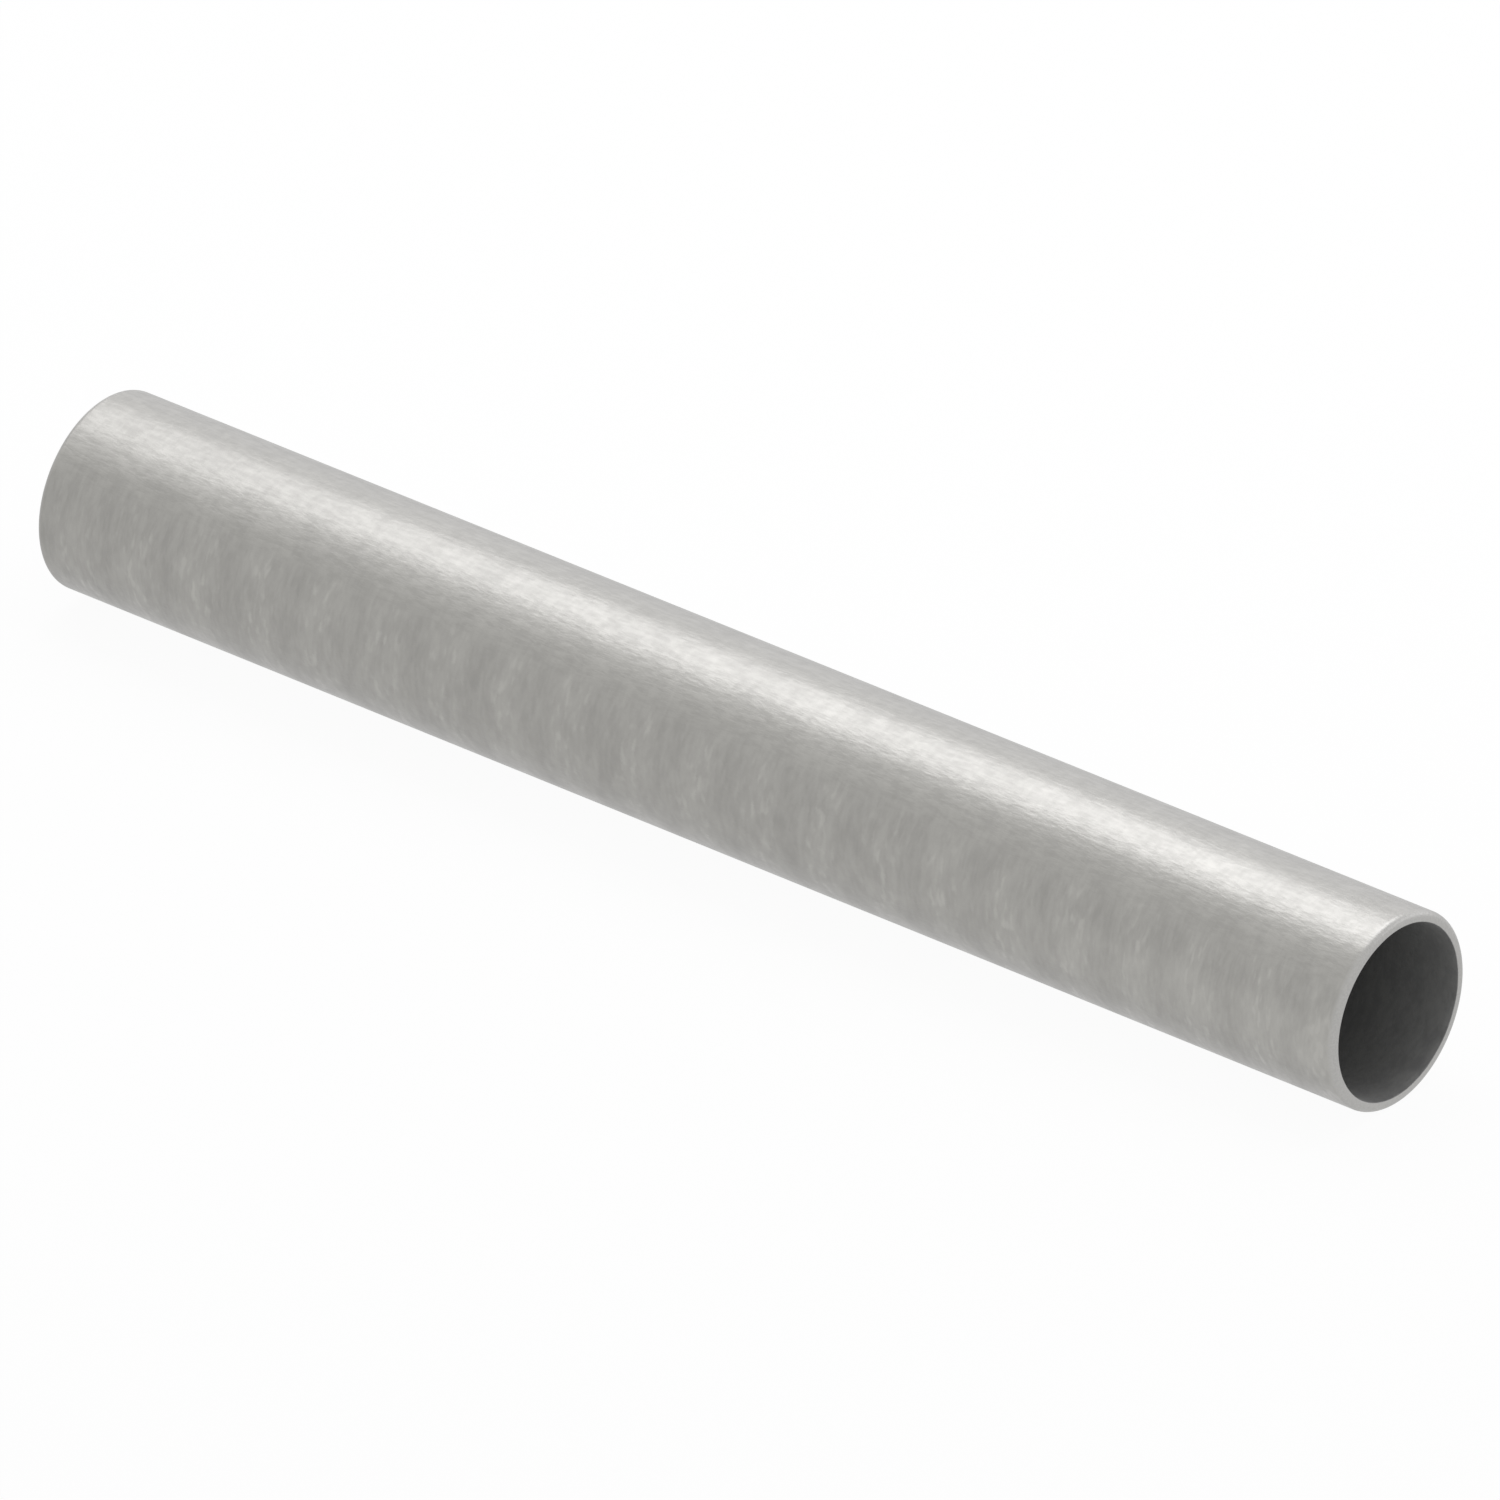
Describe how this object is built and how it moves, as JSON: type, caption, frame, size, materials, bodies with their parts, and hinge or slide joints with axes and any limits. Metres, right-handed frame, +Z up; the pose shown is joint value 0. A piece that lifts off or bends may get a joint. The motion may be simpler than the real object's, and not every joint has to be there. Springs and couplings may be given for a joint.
{
  "type": "stainless steel tube",
  "caption": "Plain round stainless steel tube with an open bore and rounded ends, for framing, spacing or sleeving.",
  "frame": {"origin": "centre of the tube: on its axis, half way along its length", "axes": "+X along the tube's axis, +Z up as the tube lies on its side, +Y across it"},
  "size_m": [0.3, 0.0382, 0.0382],
  "materials": {
    "stainless": "satin, brushed round the tube"
  },
  "bodies": {
    "root": {"tube": "stainless"}
  },
  "joints": []
}
